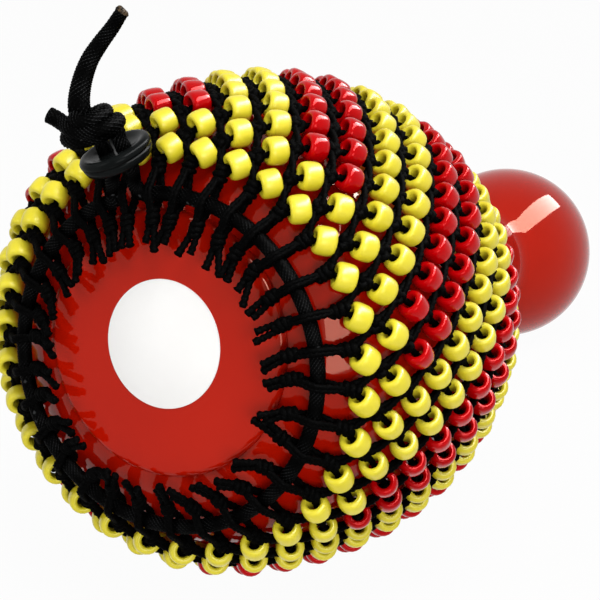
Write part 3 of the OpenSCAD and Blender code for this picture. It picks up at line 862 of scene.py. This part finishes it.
# %% Make the gourd
WALL, MOUTH_R, BULB_R, BULB_D, GOURD_SIDES = 3.0, 36.5, 36.6, 285.0, 160
THROAT_R, THROAT_NECK_R = 9.0, 20.0
throat_turn = math.acos((THROAT_NECK_R + THROAT_R) / (BULB_R + THROAT_R))
throat_d = BULB_D - (BULB_R + THROAT_R) * math.sin(throat_turn)


def arc(ring, d, r, start, end, steps):
    """Points on an arc of the outline, as radius and distance from the base."""
    return [(ring + r * math.cos(t), d + r * math.sin(t)) for t in np.linspace(start, end, steps)]


def gourd_wall(inset):
    """Points along one face of the wall, from the base to the tip of the bulb."""
    quarter = math.pi / 2
    line = arc(SHOULDER_RING_R, shoulder_d, SHOULDER_R - inset, -quarter, -front_turn, 30)
    line += arc(BELLY_R - front_r, BELLY_D, front_r - inset, -front_turn, 0, 24)[1:]
    line += arc(BELLY_R - back_r, BELLY_D, back_r - inset, 0, back_turn, 40)[1:]
    line += arc(NECK_R + back_r, NECK_D, back_r + inset, math.pi + back_turn, math.pi, 30)[1:]
    ease = [(t, t * t * (3 - 2 * t)) for t in np.linspace(0, 1, 16)[1:]]
    slim, reach = THROAT_NECK_R - NECK_R, throat_d - NECK_D
    line += [(NECK_R + slim * e - inset, NECK_D + reach * t) for t, e in ease]
    throat_ring = THROAT_NECK_R + THROAT_R
    line += arc(throat_ring, throat_d, THROAT_R + inset, math.pi, math.pi - throat_turn, 24)[1:]
    line += arc(0, BULB_D, BULB_R - inset, -throat_turn, quarter, 64)[1:]
    return line


outer, inner = gourd_wall(0), gourd_wall(WALL)
mouth = [(MOUTH_R, PLATE_T), (MOUTH_R, inner[0][1])]
wall_loop = [(0, outer[-1][1])] + outer[-2:0:-1] + [(outer[0][0], PLATE_T)]
wall_loop += mouth + inner[:-1] + [(0, inner[-1][1])]
gourd_shape = turned(wall_loop[::-1], GOURD_SIDES)
make_piece("gourd_body", [gourd_shape], gel_coat, "gourd", ["gourd_shell"])
print("gourd:", len(wall_loop), "points in the outline")

# %% Make the base and the label
BASE_R, PLATE_EDGE, SPIGOT_T, EDGE_GAP, SEAT_GAP = 42.0, 2.0, 3.5, 0.05, 0.02
LABEL_R, LABEL_T, LABEL_ROUND, LABEL_GAP, LABEL_SIDES = 20.2, 0.3, 0.12, 0.001, 128
spigot_r, spigot_end = MOUTH_R - CLEARANCE, PLATE_T + SPIGOT_T
rim = arc(BASE_R - PLATE_EDGE, PLATE_EDGE, PLATE_EDGE, -math.pi / 2, 0, 12)
plate_line = [(0, 0)] + [(r, 0) for r in (12, 24, 34)] + rim
plate_line += [(BASE_R, PLATE_T - EDGE_GAP), (spigot_r, PLATE_T - SEAT_GAP)]
plate_line += [(spigot_r, spigot_end), (0, spigot_end)]
make_piece("base_disc", [turned(plate_line, GOURD_SIDES)], gel_coat, "gourd", ["base_plate"])
label_line = [(0, -LABEL_T), (LABEL_R - LABEL_ROUND, -LABEL_T),
              (LABEL_R - LABEL_ROUND / 4, -LABEL_T + LABEL_ROUND / 3), (LABEL_R, -LABEL_T + LABEL_ROUND),
              (LABEL_R, -LABEL_GAP), (0, -LABEL_GAP)]
label_shape = turned(label_line, LABEL_SIDES)
make_piece("blank_label", [label_shape], label_paper, "gourd", ["base_label"])
print("base and label made")

# %% [markdown]
# ## Floor and light
# The photograph has a plain white ground. Here the floor and the world are
# white to the eye and to reflections, but give only a plain level of light,
# and the floor still takes a faint shadow. A light path node tells the two
# apart, so a helper asks it which kind of ray has come.

# %% Make the floor
FLOOR_HALF, FLOOR_WHITE = 6, 0.965


def seen_rays(tree):
    """1 for a ray from the camera, a reflection or clear glass, and 0 for a ray that only lights things."""
    path = tree.nodes.new("ShaderNodeLightPath")
    seen = path.outputs["Is Camera Ray"]
    for kind in ("Is Glossy Ray", "Is Transmission Ray"):
        either = tree.nodes.new("ShaderNodeMath")
        either.operation = "MAXIMUM"
        tree.links.new(seen, either.inputs[0])
        tree.links.new(path.outputs[kind], either.inputs[1])
        seen = either.outputs[0]
    return seen


corners = [(x * FLOOR_HALF, y * FLOOR_HALF, 0) for x, y in ((-1, -1), (1, -1), (1, 1), (-1, 1))]
floor_mesh = bpy.data.meshes.new("floor")
floor_mesh.from_pydata(corners, [], [(0, 1, 2, 3)])
floor = bpy.data.objects.new("floor", floor_mesh)
bpy.context.scene.collection.objects.link(floor)
floor_paint, tree, shader = new_finish("white_floor", (0.5, 0.5, 0.5), 0.9)
glow = tree.nodes.new("ShaderNodeEmission")
blend = tree.nodes.new("ShaderNodeMixShader")
share = tree.nodes.new("ShaderNodeMath")
share.operation = "MULTIPLY"
share.inputs[1].default_value = FLOOR_WHITE
tree.links.new(seen_rays(tree), share.inputs[0])
tree.links.new(share.outputs[0], blend.inputs["Fac"])
tree.links.new(shader.outputs[0], blend.inputs[1])
tree.links.new(glow.outputs[0], blend.inputs[2])
tree.links.new(blend.outputs[0], tree.nodes["Material Output"].inputs["Surface"])
floor_mesh.materials.append(floor_paint)
print("floor made")

# %% Light the world
WORLD_LIGHT, WORLD_SEEN = 0.34, 1.0
world = bpy.data.worlds.new("studio")
bpy.context.scene.world = world
world.use_nodes = True
tree = world.node_tree
backdrop = tree.nodes["Background"]
backdrop.inputs["Color"].default_value = (1, 1, 1, 1)
strength = tree.nodes.new("ShaderNodeMapRange")
strength.inputs["To Min"].default_value = WORLD_LIGHT
strength.inputs["To Max"].default_value = WORLD_SEEN
tree.links.new(seen_rays(tree), strength.inputs["Value"])
tree.links.new(strength.outputs["Result"], backdrop.inputs["Strength"])
bpy.context.scene.view_settings.view_transform = "Standard"
print("world:", WORLD_LIGHT, "as light,", WORLD_SEEN, "to the eye")

# %% [markdown]
# The lamps are large and soft. One stands near the camera, and shows as pale
# patches in the gel coat between the cords. A weaker one on the left and one
# above fill in. The long pale band on the bulb is a strip high on the right:
# it is there for reflections alone, because as a lamp it would wash out the
# red. The lamp above does the opposite, and doesn't show in the gloss.

# %% Set the lamps
def soft_lamp(name, aim, place, width, height, power):
    """A rectangular lamp, placed to the right, up and towards the camera from the point that it aims at."""
    data = bpy.data.lights.new(name, "AREA")
    data.shape, data.size, data.size_y, data.energy = "RECTANGLE", width, height, power
    lamp = bpy.data.objects.new(name, data)
    bpy.context.scene.collection.objects.link(lamp)
    away = right * place[0] + UP * place[1] - ahead * place[2]
    lamp.location = aim + away
    lamp.rotation_euler = away.to_track_quat("Z", "Y").to_euler()
    return lamp


belly_centre = Vector((0, 0, 0.08))
STRIP_ASIDE, STRIP_BEYOND = 0.12, 0.15
past_bulb = Vector(to_row((0, 0, BULB_D))) + right * STRIP_ASIDE + ahead * STRIP_BEYOND
soft_lamp("front", belly_centre, (0.2, 0.18, 1.15), width=0.5, height=0.42, power=4.9)
soft_lamp("fill", belly_centre, (-0.85, 0.5, 0.6), width=0.4, height=0.45, power=2.2)
strip = soft_lamp("strip", past_bulb, (0.35, 0.7, 0.2), width=1.8, height=0.3, power=41)
strip.visible_diffuse = False
top = soft_lamp("top", belly_centre, (0.1, 0.75, 0.3), width=0.5, height=0.5, power=5.0)
top.visible_glossy = False
